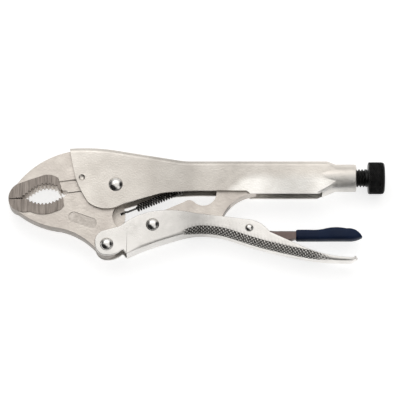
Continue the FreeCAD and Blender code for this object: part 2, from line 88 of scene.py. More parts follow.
class Graph:
    """A small helper that adds and links shader nodes."""

    def __init__(self, name):
        self.material = bpy.data.materials.new(name)
        self.material.use_nodes = True
        self.tree = self.material.node_tree
        self.shader = self.tree.nodes["Principled BSDF"]
        self.coordinates = self.add("ShaderNodeTexCoord").outputs["Object"]

    def add(self, kind, **settings):
        node = self.tree.nodes.new(kind)
        for key, value in settings.items():
            setattr(node, key, value)
        return node

    def link(self, source, target):
        self.tree.links.new(source, target)

    def noise(self, scale, detail=3.0, roughness=0.55, stretch=(1.0, 1.0, 1.0)):
        mapping = self.add("ShaderNodeMapping")
        mapping.inputs["Scale"].default_value = stretch
        self.link(self.coordinates, mapping.inputs["Vector"])
        texture = self.add("ShaderNodeTexNoise")
        texture.inputs["Scale"].default_value = scale
        texture.inputs["Detail"].default_value = detail
        texture.inputs["Roughness"].default_value = roughness
        self.link(mapping.outputs["Vector"], texture.inputs["Vector"])
        return texture.outputs["Fac"]

    def ramp(self, value, low, high, low_colour, high_colour):
        ramp = self.add("ShaderNodeValToRGB")
        ramp.color_ramp.elements[0].position = low
        ramp.color_ramp.elements[1].position = high
        ramp.color_ramp.elements[0].color = (*low_colour, 1.0)
        ramp.color_ramp.elements[1].color = (*high_colour, 1.0)
        self.link(value, ramp.inputs["Fac"])
        return ramp.outputs["Color"]

    def remap(self, value, low, high, from_low=0.3, from_high=0.7):
        remap = self.add("ShaderNodeMapRange")
        remap.inputs["From Min"].default_value = from_low
        remap.inputs["From Max"].default_value = from_high
        remap.inputs["To Min"].default_value = low
        remap.inputs["To Max"].default_value = high
        self.link(value, remap.inputs["Value"])
        return remap.outputs["Result"]

    def feed(self, socket, value):
        """Links a socket, or sets it when the value is a plain number or colour."""
        if isinstance(value, (int, float)):
            socket.default_value = value
        elif isinstance(value, tuple):
            socket.default_value = (*value, 1.0)
        else:
            self.link(value, socket)

    def mix(self, factor, first, second, data_type="RGBA", blend_type="MIX"):
        mix = self.add("ShaderNodeMix", data_type=data_type, blend_type=blend_type)
        self.feed(mix.inputs["Factor"], factor)
        self.feed(mix.inputs["A"], first)
        self.feed(mix.inputs["B"], second)
        return mix.outputs["Result"]

    def calculate(self, operation, *values):
        """A maths node on sockets or plain numbers."""
        node = self.add("ShaderNodeMath", operation=operation)
        for socket, value in zip(node.inputs, values):
            self.feed(socket, value)
        return node.outputs["Value"]

    def axis(self, name, vector=None):
        """One part of a vector: of the point's own place, if no other vector is given."""
        split = self.add("ShaderNodeSeparateXYZ")
        self.link(vector or self.coordinates, split.inputs["Vector"])
        return split.outputs[name]

    def bump(self, height, distance, strength=1.0, under=None):
        bump = self.add("ShaderNodeBump")
        bump.inputs["Distance"].default_value = distance
        bump.inputs["Strength"].default_value = strength
        self.link(height, bump.inputs["Height"])
        if under is not None:
            self.link(under, bump.inputs["Normal"])
        return bump.outputs["Normal"]

    def tone_along(self, colour, stops):
        """A colour times a grey that changes along X, given as (x, grey) stops."""
        first, last = stops[0][0], stops[-1][0]
        share = self.remap(self.axis("X"), 0.0, 1.0, first, last)
        ramp = self.add("ShaderNodeValToRGB")
        ramp.color_ramp.interpolation = "EASE"
        while len(ramp.color_ramp.elements) < len(stops):
            ramp.color_ramp.elements.new(0.5)
        for element, (x, grey) in zip(ramp.color_ramp.elements, stops):
            element.position = (x - first) / (last - first)
            element.color = (grey, grey, grey, 1.0)
        self.link(share, ramp.inputs["Fac"])
        return self.mix(1.0, colour, ramp.outputs["Color"], blend_type="MULTIPLY")

    def painted_highlight_zone(self, start, height):
        """One behind a slanted start along X and below a height, fading to zero round both: where the
        painted highlight goes.
        """
        slanted = self.calculate("MULTIPLY_ADD", self.axis("Y"), -HIGHLIGHT_SLANT, self.axis("X"))
        reach = HIGHLIGHT_SLANT * HIGHLIGHT_FADE
        behind = self.remap(slanted, 0.0, 1.0, start - reach, start + reach)
        under = self.remap(self.axis("Y"), 1.0, 0.0, height - HIGHLIGHT_FADE, height + HIGHLIGHT_FADE)
        return self.calculate("MULTIPLY", behind, under)

    def off_plane(self):
        """A point's distance from the pliers' mid-plane."""
        return self.calculate("ABSOLUTE", self.calculate("SUBTRACT", self.axis("Z"), MID_Z))

    def beyond(self, half_width):
        """One where a point lies further from the mid-plane than a half width, else zero."""
        return self.calculate("GREATER_THAN", self.off_plane(), half_width)

    def at_level(self, half_width, tolerance):
        """One where a point's distance from the mid-plane is a half width, else zero."""
        return self.calculate("COMPARE", self.off_plane(), half_width, tolerance)

    def underside(self, height):
        """One on the upright walls that lie below a height, else zero."""
        normal = self.add("ShaderNodeTexCoord").outputs["Normal"]
        upright = self.calculate("COMPARE", self.axis("Z", normal), 0.0, WALL_TILT)
        below = self.calculate("LESS_THAN", self.axis("Y"), height)
        return self.calculate("MULTIPLY", upright, below)


def plated_steel(name, light, dark, roughness, grain, reflection_bands=None, highlight_zone=None, groove_grime_and_shade=None):
    """Satin nickel over steel: blotchy tone, fine pitting and a little orange peel.

    The grey stops along X paint bands of reflection and shade onto the colour, the zone given by a start
    and a height gets a painted highlight, and the dark groove colour is painted into the grooves that
    are marked on the mesh, as grime and painted shade.
    """
    graph = Graph(name)
    blotches = graph.ramp(graph.noise(55.0, 5.0), 0.36, 0.64, dark, light)
    dull = tuple(0.84 * value for value in dark)
    clouds = graph.remap(graph.noise(22.0, 2.0), 0.0, 0.75, 0.48, 0.66)
    fine = graph.ramp(graph.noise(300.0, 3.0), 0.3, 0.7, dull, dark)
    colour = graph.mix(clouds, blotches, fine)
    # Painted reflection and shade: the colour is lighter or darker in bands along X.
    if reflection_bands:
        colour = graph.tone_along(colour, reflection_bands)
    # Painted highlight: a brighter colour, with its own bands along X, over the given zone.
    if highlight_zone:
        painted_highlight = graph.ramp(graph.noise(90.0, 4.0), 0.3, 0.7, (0.80, 0.77, 0.72), (0.96, 0.94, 0.90))
        painted_highlight = graph.tone_along(painted_highlight, HIGHLIGHT_BANDS)
        colour = graph.mix(graph.painted_highlight_zone(*highlight_zone), colour, painted_highlight)
    # Dark grime and painted shade at the bottom of the grooves marked on the mesh.
    if groove_grime_and_shade:
        mark = graph.add("ShaderNodeAttribute", attribute_name=GROOVE_MARK)
        colour = graph.mix(mark.outputs["Fac"], colour, groove_grime_and_shade)
    graph.link(colour, graph.shader.inputs["Base Color"])
    graph.link(graph.remap(graph.noise(140.0, 4.0), roughness - 0.06, roughness + 0.08),
               graph.shader.inputs["Roughness"])
    peel = graph.bump(graph.noise(900.0, 3.0), 0.16 * MM * grain)
    pits = graph.bump(graph.noise(2200.0, 3.0), 0.04 * MM * grain, under=peel)
    graph.link(pits, graph.shader.inputs["Normal"])
    graph.shader.inputs["Metallic"].default_value = 1.0
    return graph.material


def forged_jaw_steel(name, grip_face_half_width):
    """Plated forging: brushed dark grip faces, a dull recess and painted shade on the upright walls
    underneath.
    """
    graph = Graph(name)
    ground = graph.beyond(grip_face_half_width)
    plating = graph.ramp(graph.noise(70.0, 5.0), 0.36, 0.64, (0.57, 0.52, 0.475), (0.67, 0.62, 0.565))
    strokes = graph.noise(90.0, 4.0, 0.7, stretch=(14.0, 0.7, 1.0))
    bare = graph.ramp(strokes, 0.3, 0.7, (0.16, 0.138, 0.122), (0.39, 0.345, 0.31))
    dull = graph.ramp(graph.noise(300.0, 4.0), 0.34, 0.66, (0.46, 0.42, 0.38), (0.58, 0.535, 0.49))
    plating = graph.mix(graph.at_level(RECESS_LEVEL, RECESS_TOLERANCE), plating, dull)
    # Painted shade: a darker colour on the upright walls below the given height, for the dark lines
    # along the jaws' lower edges.
    scale = graph.ramp(graph.noise(200.0, 4.0), 0.34, 0.66, (0.27, 0.245, 0.22), (0.38, 0.345, 0.315))
    plating = graph.mix(graph.underside(JAW_PIVOT.y - UNDERSIDE_DROP), plating, scale)
    graph.link(graph.mix(ground, plating, bare), graph.shader.inputs["Base Color"])
    graph.link(graph.remap(graph.noise(160.0, 4.0), 0.38, 0.5), graph.shader.inputs["Roughness"])
    skin = graph.noise(700.0, 3.0)
    height = graph.mix(ground, skin, strokes, data_type="FLOAT")
    coarse = graph.bump(height, 0.18 * MM)
    fine = graph.bump(graph.noise(2600.0, 3.0), 0.04 * MM, under=coarse)
    graph.link(fine, graph.shader.inputs["Normal"])
    graph.shader.inputs["Metallic"].default_value = 1.0
    return graph.material


def polished_steel(name):
    """A bright rivet dome with faint wheel marks."""
    graph = Graph(name)
    graph.link(graph.ramp(graph.noise(300.0, 3.0), 0.35, 0.7, (0.78, 0.76, 0.73), (0.92, 0.90, 0.87)),
               graph.shader.inputs["Base Color"])
    graph.link(graph.remap(graph.noise(900.0, 3.0, stretch=(1, 6, 1)), 0.10, 0.2),
               graph.shader.inputs["Roughness"])
    graph.link(graph.bump(graph.noise(1500.0, 2.0), 0.01 * MM), graph.shader.inputs["Normal"])
    graph.shader.inputs["Metallic"].default_value = 1.0
    return graph.material


def dipped_vinyl(name):
    """Dark blue dipped vinyl: soft sheen and a slightly uneven skin."""
    graph = Graph(name)
    blue = graph.ramp(graph.noise(60.0, 3.0), 0.3, 0.7, (0.0015, 0.009, 0.034), (0.0025, 0.014, 0.052))
    graph.link(blue, graph.shader.inputs["Base Color"])
    graph.link(graph.remap(graph.noise(180.0, 3.0), 0.46, 0.58), graph.shader.inputs["Roughness"])
    skin = graph.bump(graph.noise(260.0, 2.0), 0.08 * MM)
    fine = graph.bump(graph.noise(3000.0, 2.0), 0.02 * MM, under=skin)
    graph.link(fine, graph.shader.inputs["Normal"])
    graph.shader.inputs["Specular IOR Level"].default_value = 0.22
    return graph.material


def black_oxide(name, metallic):
    """Black oxide steel: nearly black, with a slight oily sheen that breaks up on the grain."""
    graph = Graph(name)
    skin = graph.ramp(graph.noise(400.0, 4.0), 0.35, 0.7, (0.006, 0.006, 0.006), (0.026, 0.025, 0.024))
    graph.link(skin, graph.shader.inputs["Base Color"])
    graph.link(graph.remap(graph.noise(700.0, 3.0), 0.26, 0.42), graph.shader.inputs["Roughness"])
    graph.link(graph.bump(graph.noise(2500.0, 2.0), 0.02 * MM), graph.shader.inputs["Normal"])
    graph.shader.inputs["Metallic"].default_value = metallic
    return graph.material


def spring_steel(name):
    """Hard-drawn wire, oiled dark with a bright crest along each turn."""
    graph = Graph(name)
    graph.link(graph.ramp(graph.noise(500.0, 3.0), 0.35, 0.7, (0.07, 0.068, 0.065), (0.20, 0.19, 0.18)),
               graph.shader.inputs["Base Color"])
    graph.link(graph.remap(graph.noise(900.0, 3.0), 0.2, 0.34), graph.shader.inputs["Roughness"])
    graph.shader.inputs["Metallic"].default_value = 1.0
    return graph.material


def floor_paint(name, glow):
    """A pale light table: white paint that glows softly from below."""
    graph = Graph(name)
    paint = graph.ramp(graph.noise(6.0, 2.0), 0.3, 0.7, (0.52, 0.52, 0.52), (0.56, 0.56, 0.56))
    graph.link(paint, graph.shader.inputs["Base Color"])
    graph.shader.inputs["Roughness"].default_value = 0.9
    graph.shader.inputs["Emission Color"].default_value = (1.0, 1.0, 1.0, 1.0)
    graph.shader.inputs["Emission Strength"].default_value = glow
    return graph.material


# The jaws: grip faces stand further from the mid-plane than the mask, and the recess is level.
GRIP_MASK = 6.4 * MM
RECESS_LEVEL = 5.65 * MM
RECESS_TOLERANCE = 0.08 * MM
# Painted shade darkens the jaws' upright walls that lie this far below the pivot; a wall counts as
# upright while its normal's Z stays within this tilt.
UNDERSIDE_DROP = 13.0 * MM
WALL_TILT = 0.7
# A painted highlight brightens the upper handle behind this x and below the screw's axis.
HIGHLIGHT_START = 80.0 * MM
HIGHLIGHT_FADE = 3.0 * MM
HIGHLIGHT_SLANT = 1.2
HIGHLIGHT_ABOVE_AXIS = -0.6 * MM
SCREW_AXIS_Y = (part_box("adjusting_screw")[0].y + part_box("adjusting_screw")[1].y) / 2
# Grey stops along X, in metres: (x, grey), that paint bands of reflection and shade on the handles and
# within the highlight.
UPPER_REFLECTION_BANDS = [(-0.030, 0.89), (0.010, 0.80), (0.040, 0.64), (0.064, 0.78), (0.090, 0.82), (0.140, 1.0)]
HIGHLIGHT_BANDS = [(0.072, 1.0), (0.092, 0.96), (0.114, 0.72), (0.124, 0.76), (0.135, 0.98), (0.156, 0.70)]
LOWER_REFLECTION_BANDS = [(-0.015, 0.85), (0.015, 0.90), (0.034, 0.84), (0.052, 0.58), (0.072, 0.92), (0.110, 1.0)]
GROOVE_MARK = "groove"
FINISHES = {
    "nickel_sheet": plated_steel("nickel_sheet", (0.82, 0.775, 0.715), (0.71, 0.665, 0.61), 0.36, 1.0,
                                 reflection_bands=UPPER_REFLECTION_BANDS, highlight_zone=(HIGHLIGHT_START, SCREW_AXIS_Y + HIGHLIGHT_ABOVE_AXIS)),
    "nickel_forged": forged_jaw_steel("nickel_forged", GRIP_MASK),
    # The lever: its own brownish colour, darkened further as painted shade for the shadow it lies in
    # under the lower handle.
    "lever_steel": plated_steel("lever_steel", (0.25, 0.195, 0.18), (0.17, 0.13, 0.12), 0.40, 1.0),
    "rivet_steel": polished_steel("rivet_steel"),
    "blue_vinyl": dipped_vinyl("blue_vinyl"),
    "black_oxide": black_oxide("black_oxide", 0.5),
    "spring_wire": spring_steel("spring_wire"),
}
# The lower handle: painted bands of reflection and shade along X, and dark grime with painted shade in
# the knurl's grooves.
BRIGHT_SHEET = plated_steel("nickel_bright", (0.95, 0.925, 0.89), (0.82, 0.795, 0.76), 0.30, 0.3,
                            reflection_bands=LOWER_REFLECTION_BANDS, groove_grime_and_shade=(0.055, 0.05, 0.045))


def finish(piece, material):
    """One material all over a piece."""
    piece.data.materials.clear()
    piece.data.materials.append(material)


def soften(piece, width):
    """Small rounds on a piece's sharp edges."""
    weld = piece.modifiers.new("weld", "WELD")
    weld.merge_threshold = 0.005 * MM
    bevel = piece.modifiers.new("rounds", "BEVEL")
    bevel.width = width
    bevel.segments = 2
    bevel.limit_method = "ANGLE"
    bevel.angle_limit = math.radians(35)
    bevel.harden_normals = False


# ---------------------------------------------------------------- mesh helpers

SMOOTH_ANGLE = math.radians(38)
EDGE_INSET = 0.02 * MM
OUTSIDE = 200.0 * MM
SLOPE_STEP = 0.4 * MM


def smoothstep(value, low, high):
    """Zero up to low, one from high, and a smooth rise between them."""
    share = min(1.0, max(0.0, (value - low) / (high - low)))
    return share * share * (3.0 - 2.0 * share)


def bell(value, low, high, fade):
    """One between low and high, falling to zero over the fade inside each end."""
    return smoothstep(value, low, low + fade) * (1.0 - smoothstep(value, high - fade, high))


def crossed_grooves(along, around, shares):
    """One in either of two crossing sets of grooves, zero on the diamonds left between them.

    Both places are counted in pitches, and the shares say where a groove's side begins and ends.
    """
    groove = 0.0
    for phase in (along + around, along - around):
        distance = abs(phase - round(phase))
        groove = max(groove, 1.0 - smoothstep(distance, *shares))
    return groove


def spread(low, high, count):
    """Evenly spaced values from low to high, both included."""
    return [low + (high - low) * step / count for step in range(count + 1)]


def add_piece(name, node, points, faces, material=None):
    """A mesh piece that stands for one CAD node, and hides that node's own mesh."""
    mesh = bpy.data.meshes.new(name)
    mesh.from_pydata([tuple(point) for point in points], [], faces)
    mesh.validate()
    shell = bmesh.new()
    shell.from_mesh(mesh)
    bmesh.ops.recalc_face_normals(shell, faces=shell.faces)
    shell.to_mesh(mesh)
    shell.free()
    mesh.shade_smooth()
    mesh.set_sharp_from_angle(angle=SMOOTH_ANGLE)
    piece = bpy.data.objects.new(name, mesh)
    bpy.context.scene.collection.objects.link(piece)
    finish(piece, material or FINISHES[slots[node]])
    weighted = piece.modifiers.new("even_normals", "WEIGHTED_NORMAL")
    weighted.keep_sharp = True
    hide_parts(node)
    return piece


def loft(loops):
    """Points and faces of a closed skin through equal loops, with a flat cap at each end."""
    count = len(loops[0])
    points = [point for loop in loops for point in loop]
    faces = []
    for row in range(len(loops) - 1):
        for column in range(count):
            following = (column + 1) % count
            faces.append((row * count + column, row * count + following,
                          (row + 1) * count + following, (row + 1) * count + column))
    last = (len(loops) - 1) * count
    faces.append(tuple(reversed(range(count))))
    faces.append(tuple(range(last, last + count)))
    return points, faces


class Outline:
    """The top and bottom edges of a CAD node, read off its own mesh along a line of X."""

    def __init__(self, node, z):
        mesh = nodes[node].data
        self.low, self.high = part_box(node)
        self.z = z
        self.tree = BVHTree.FromPolygons([vertex.co for vertex in mesh.vertices],
                                         [polygon.vertices for polygon in mesh.polygons])

    def edge(self, x, side):
        x = min(max(x, self.low.x + EDGE_INSET), self.high.x - EDGE_INSET)
        outside = Vector((x, OUTSIDE * side, self.z))
        return self.tree.ray_cast(outside, Vector((0, -side, 0)))[0].y

    def top(self, x):
        return self.edge(x, 1)

    def bottom(self, x):
        return self.edge(x, -1)


def outward(curve, x, side):
    """The unit normal of a height curve, pointing up (side 1) or down (side -1)."""
    slope = (curve(x + SLOPE_STEP) - curve(x - SLOPE_STEP)) / (2 * SLOPE_STEP)
    return Vector((-slope * side, side, 0)).normalized()


# ---------------------------------------------------------------- lower handle

WALL = 1.7 * MM
RIM = 0.55 * MM
LOWER_HALF_WIDTH = (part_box("lower_handle")[1].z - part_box("lower_handle")[0].z) / 2
EAR_END_X = 7.4 * MM
KNURL_START_X = 43.0 * MM
KNURL_END_X = 144.0 * MM
KNURL_PITCH = 2.3 * MM
KNURL_DEPTH = 0.55 * MM
GROOVE_SHARES = (0.05, 0.30)
SPOON_LENGTH = 8.0 * MM
TAIL_NARROWING = 2.6 * MM
LEAST_INNER_RADIUS = 0.35 * MM
INNER_STEPS = 6
SIDE_STEPS = 4
CORNER_STEPS = 26
SPINE_STEPS = 4
RIM_STEPS = 3


def corner_radius(x):
    """The lower handle's bottom corner: crisp at the ears, full in the hand, then tighter."""
    behind_ears = 1.6 * smoothstep(x, EAR_END_X, 18.0 * MM)
    in_the_hand = 3.2 * smoothstep(x, 38.0 * MM, 56.0 * MM)
    at_the_tail = 1.6 * smoothstep(x, 130.0 * MM, 157.0 * MM)
    return (0.5 + behind_ears + in_the_hand - at_the_tail) * MM


def tail_half_width(x, end_x):
    """The tail's plan narrows and is rounded at the end, like a spoon."""
    share = max(0.0, (x - (end_x - SPOON_LENGTH)) / SPOON_LENGTH)
    narrowing = smoothstep(x, end_x - 42.0 * MM, end_x - 6.0 * MM)
    rounding = 1.0 - math.sqrt(max(0.0, 1.0 - share * share))
    return LOWER_HALF_WIDTH - TAIL_NARROWING * (narrowing + rounding)


def knurl_field(along, share):
    """Where the knurl is cut: fading in at both ends and towards the side and the spine."""
    return (smoothstep(along, KNURL_START_X, KNURL_START_X + 5.0 * MM)
            * (1.0 - smoothstep(along, KNURL_END_X - 16.0 * MM, KNURL_END_X))
            * bell(share, -0.04, 0.90, 0.16))


def groove_depth(along, share, radius):
    """How deep the knurl is at a point of the corner, from 0 to 1."""
    around = share * radius * math.pi / 2
    return knurl_field(along, share) * crossed_grooves(along / KNURL_PITCH, around / KNURL_PITCH,
                                                       GROOVE_SHARES)


def rim_arc(top, normal, half_width):
    """The rounded edge of a wall, from its outer side over to its inner side."""
    points = []
    for outer, turn_from in ((True, 0.0), (False, 90.0)):
        centre_z = half_width - RIM if outer else half_width - WALL + RIM
        for step in range(RIM_STEPS + 1):
            angle = math.radians(turn_from + 90.0 * step / RIM_STEPS)
            height = top + normal * (RIM * (math.sin(angle) - 1.0))
            points.append(Vector((height.x, height.y, centre_z + RIM * math.cos(angle))))
    return points


def straight(start, end, steps):
    """Points strictly between two points, evenly spaced."""
    return [start.lerp(end, step / steps) for step in range(1, steps)]


def wall_loop(top, top_normal, bottom, bottom_normal, half_width):
    """One ear plate's section: a strip with all its edges rounded."""
    upper = rim_arc(top, top_normal, half_width)
    lower = list(reversed(rim_arc(bottom, bottom_normal, half_width)))
    return (upper + straight(upper[-1], lower[0], SIDE_STEPS) + lower
            + straight(lower[-1], upper[0], SIDE_STEPS))


def corner_arc(bottom, normal, half_width, radius, along):
    """Half of the channel's outer corner and spine, side first, with the knurl cut into it."""
    points = []
    for step in range(CORNER_STEPS + 1):
        share = step / CORNER_STEPS
        angle = share * math.pi / 2
        cut = KNURL_DEPTH * groove_depth(along, share, radius)
        reach = radius - cut
        centre = bottom - normal * radius
        height = centre + normal * (reach * math.sin(angle))
        points.append(Vector((height.x, height.y, half_width - radius + reach * math.cos(angle))))
    return points


def inner_arc(bottom, normal, half_width, radius):
    """The same corner inside the channel, from the spine up to the wall."""
    inner = max(radius - WALL, LEAST_INNER_RADIUS)
    centre = bottom - normal * (WALL + inner)
    points = []
    for step in range(INNER_STEPS + 1):
        angle = math.pi / 2 * (1.0 - step / INNER_STEPS)
        height = centre + normal * (inner * math.sin(angle))
        side = half_width - WALL - inner + inner * math.cos(angle)
        points.append(Vector((height.x, height.y, side)))
    return points


def across(point):
    """The same point on the other side of the mid-plane."""
    return Vector((point.x, point.y, -point.z))


def mirrored(points):
    """A run of points on the other side, in the opposite order."""
    return [across(point) for point in reversed(points)]


def channel_loop(top, top_normal, bottom, bottom_normal, half_width, radius, along):
    """The folded channel's section: outer skin from rim to rim, then back along the inside."""
    rim = rim_arc(top, top_normal, half_width)
    corner = corner_arc(bottom, bottom_normal, half_width, radius, along)
    outer_half = straight(rim[0], corner[0], SIDE_STEPS) + corner
    spine = straight(corner[-1], across(corner[-1]), SPINE_STEPS)
    arc = inner_arc(bottom, bottom_normal, half_width, radius)
    inner_half = arc + straight(arc[-1], rim[-1], SIDE_STEPS)
    floor = straight(across(arc[0]), arc[0], SPINE_STEPS)
    return (outer_half + spine + mirrored(outer_half) + mirrored(rim)
            + mirrored(inner_half) + floor + inner_half + list(reversed(rim)))


def raised(loop):
    """A section moved up to the pliers' mid-plane."""
    return [Vector((point.x, point.y, MID_Z + point.z)) for point in loop]


def mark_grooves(piece, first, stations, radii):
    """A mark on the mesh that is one at the bottom of a groove and zero on plain sheet."""
    row_length = (len(piece.data.vertices) - first) // len(stations)
    values = [0.0] * len(piece.data.vertices)
    corner_first = SIDE_STEPS - 1
    corner_last = corner_first + CORNER_STEPS
    mirror_first = corner_last + SPINE_STEPS
    for row, (x, radius) in enumerate(zip(stations, radii)):
        start = first + row * row_length
        for step in range(CORNER_STEPS + 1):
            depth = groove_depth(x, step / CORNER_STEPS, radius)
            values[start + corner_first + step] = depth
            values[start + mirror_first + CORNER_STEPS - step] = depth
    attribute = piece.data.attributes.new(GROOVE_MARK, "FLOAT", "POINT")
    attribute.data.foreach_set("value", values)


def shifted(faces, offset):
    """Faces that count their points from an offset."""
    return [tuple(index + offset for index in face) for face in faces]


def ear_plates(walls):
    """The two plain plates at the front, which hold the handle pivot."""
    start, reach = walls.low.x, EAR_END_X - walls.low.x
    loops = []
    for share in spread(0.02, 1.0, 40):
        x = start + reach * (1 - math.cos(math.pi / 2 * share))
        top, bottom = Vector((x, walls.top(x), 0)), Vector((x, walls.bottom(x), 0))
        loops.append(wall_loop(top, outward(walls.top, x, 1), bottom,
                               outward(walls.bottom, x, -1), LOWER_HALF_WIDTH))
    front = [raised(loop) for loop in loops]
    back = [raised(mirrored(loop)) for loop in loops]
    points, faces = loft(front)
    back_points, back_faces = loft(back)
    return points + back_points, faces + shifted(back_faces, len(points))


def channel_stations(end_x):
    """Places along the channel: close together on the knurl, and bunched at the tail's end."""
    plain = spread(EAR_END_X, KNURL_START_X, 60)[:-1]
    knurled = spread(KNURL_START_X, KNURL_END_X, 380)[:-1]
    tail = [KNURL_END_X + (end_x - KNURL_END_X) * math.sin(math.pi / 2 * share)
            for share in spread(0.0, 1.0, 30)]
    return plain + knurled + tail


def build_lower_handle():
    """The folded channel with its ear plates, in place of the CAD handle."""
    node = "lower_handle"
    walls = Outline(node, MID_Z + LOWER_HALF_WIDTH - WALL / 2)
    spine = Outline(node, MID_Z)
    ears, ear_faces = ear_plates(walls)
    end_x = walls.high.x - 0.05 * MM
    stations = channel_stations(end_x)
    loops = []
    radii = []
    for x in stations:
        half_width = tail_half_width(x, end_x)
        top = Vector((x, walls.top(x), 0))
        bottom = Vector((x, spine.bottom(x), 0))
        rise = top.y - bottom.y
        radius = min(corner_radius(x), half_width - 1.0 * MM, max(0.6 * MM, rise - RIM - 0.2 * MM))
        radii.append(radius)
        loops.append(raised(channel_loop(top, outward(walls.top, x, 1), bottom,
                                         outward(spine.bottom, x, -1), half_width, radius, x)))
    channel, channel_faces = loft(loops)
    piece = add_piece("lower_handle_skin", node, ears + channel,
                      ear_faces + shifted(channel_faces, len(ears)), BRIGHT_SHEET)
    mark_grooves(piece, len(ears), stations, radii)
    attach(piece, bodies[node])


# ---------------------------------------------------------------- turned parts

def lathe(start, profile, sides, relief):
    """Rings about a line along X. The profile is (x offset, radius) and relief lowers a point."""
    loops = []
    for offset, radius in profile:
        loop = []
        for step in range(sides):
            angle = 2 * math.pi * step / sides
            reach = radius - relief(offset, angle, radius)
            loop.append(start + Vector((offset, reach * math.cos(angle), reach * math.sin(angle))))
        loops.append(loop)
    return loft(loops)


def axis_start(node):
    """The near end of a turned part's own line, and its radius and length."""
    low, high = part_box(node)
    start = Vector((low.x, (low.y + high.y) / 2, (low.z + high.z) / 2))
    return start, (high.y - low.y) / 2, high.x - low.x


THREAD_PITCH = 2.0 * MM
THREAD_DEPTH = 1.05 * MM
THREAD_SIDES = 40
TIP_LENGTH = 4.0 * MM
TIP_RADIUS = 3.2 * MM
NECK_LENGTH = 0.9 * MM
NECK_DEPTH = 0.5 * MM


def build_screw():
    """The adjusting screw with its cut thread, cone tip and thinner neck."""
    node = "adjusting_screw"
    start, radius, _ = axis_start(node)
    knob_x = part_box("adjusting_knob")[0].x - start.x
    thread_end = knob_x - NECK_LENGTH

    def relief(offset, angle, ring):
        """A V thread with a flat crest and root, fading out at both ends."""
        turn = offset / THREAD_PITCH - angle / (2 * math.pi)
        share = turn - math.floor(turn)
        flank = min(1.0, max(0.0, abs(2 * share - 1) * 1.35 - 0.2))
        return THREAD_DEPTH * flank * bell(offset, 0.6 * MM, thread_end, 1.2 * MM)

    profile = [(0.0, 0.2 * MM), (0.0, TIP_RADIUS - 0.1 * MM)]
    profile += [(x, TIP_RADIUS + (radius - TIP_RADIUS) * x / TIP_LENGTH)
                for x in spread(0.1 * MM, TIP_LENGTH, 12)]
    profile += [(x, radius) for x in spread(TIP_LENGTH, thread_end, 260)[1:]]
    profile += [(x, radius - NECK_DEPTH) for x in (knob_x - 0.7 * MM, knob_x + 0.3 * MM)]
    points, faces = lathe(start, profile, THREAD_SIDES, relief)
    piece = add_piece("adjusting_screw_thread", node, points, faces)
    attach(piece, bodies[node])


KNOB_DIAMONDS = 50
KNOB_PITCH = 1.35 * MM
KNOB_RELIEF = 0.5 * MM
KNOB_GROOVE_SHARES = (0.05, 0.36)
KNOB_HOLE_RADIUS = 5.2 * MM
NEAR_ROUND = 1.0 * MM
FAR_ROUND = 2.4 * MM
FACE_RECESS = 1.0 * MM


def knob_profile(radius, length):
    """From the near face over both rounded edges to the shallow recess in the far face."""
    profile = [(0.0, KNOB_HOLE_RADIUS), (0.0, radius - NEAR_ROUND)]
    for degrees in spread(10.0, 90.0, 6):
        turn = math.radians(degrees)
        profile.append((NEAR_ROUND * (1 - math.cos(turn)),
                        radius - NEAR_ROUND * (1 - math.sin(turn))))
    profile += [(x, radius) for x in spread(NEAR_ROUND, length - FAR_ROUND, 44)[1:-1]]
    for degrees in spread(0.0, 80.0, 14):
        turn = math.radians(degrees)
        flattened = turn + 0.15 * math.sin(turn)
        profile.append((min(length, length - FAR_ROUND * (1 - math.sin(flattened))),
                        radius - FAR_ROUND * (1 - math.cos(turn))))
    rim = radius - FAR_ROUND - 0.2 * MM
    recess_x = length - FACE_RECESS
    return profile + [(length, rim), (length - 0.1 * MM, rim - 1.0 * MM),
                      (recess_x + 0.1 * MM, rim - 1.9 * MM),
                      (recess_x, 2.0 * MM), (recess_x, 0.1 * MM)]


def build_knob():
    """The knob with its knurled rim and recessed face."""
    node = "adjusting_knob"
    start, radius, length = axis_start(node)

    def relief(offset, angle, ring):
        """Two crossing sets of grooves, on the rim only."""
        if ring <= 0.7 * radius:
            return 0.0
        around = angle / (2 * math.pi) * KNOB_DIAMONDS
        groove = crossed_grooves(offset / KNOB_PITCH, around, KNOB_GROOVE_SHARES)
        return KNOB_RELIEF * groove * bell(offset, 0.3 * MM, length - 0.5 * MM, 0.9 * MM)

    points, faces = lathe(start, knob_profile(radius, length), KNOB_DIAMONDS * 6, relief)
    piece = add_piece("adjusting_knob_knurled", node, points, faces)
    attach(piece, bodies[node])


# ---------------------------------------------------------------- spring

def tube(path, radius, sides=8):
    """A wire of round section along a path of points."""
    loops = []
    forward = (path[1] - path[0]).normalized()
    side = forward.orthogonal().normalized()
    for index, point in enumerate(path):
        before, after = path[max(0, index - 1)], path[min(len(path) - 1, index + 1)]
        turned = (after - before).normalized()
        side = (side - turned * side.dot(turned)).normalized()
        other = turned.cross(side)
        loops.append([point + radius * (side * math.cos(a) + other * math.sin(a))
                      for a in spread(0.0, 2 * math.pi, sides)[:-1]])
    return loft(loops)


SPRING_ANGLE = math.radians(22.4)
WIRE_RADIUS = 0.68 * MM
COIL_RADIUS = 1.9 * MM
RING_RADIUS = 2.0 * MM
COIL_START = 10.8 * MM
COIL_LENGTH = 32.4 * MM
FAR_LEG = 9.6 * MM
COIL_PITCH = 1.8 * MM
COIL_STEPS = 22
LEG_OVERLAP = 0.3 * MM
RING_OPENING = -110.0


def hook(base, direction, leg):
    """A straight leg and an open ring, from the leg's base out: distance along, and lift."""
    points = [(base + direction * leg * share, 0.0) for share in spread(0.0, 1.0, 8)]
    centre = base + direction * (leg + RING_RADIUS)
    for degrees in spread(180.0, RING_OPENING, 28)[1:]:
        turn = math.radians(degrees)
        points.append((centre + direction * RING_RADIUS * math.cos(turn),
                       RING_RADIUS * math.sin(turn)))
    return points


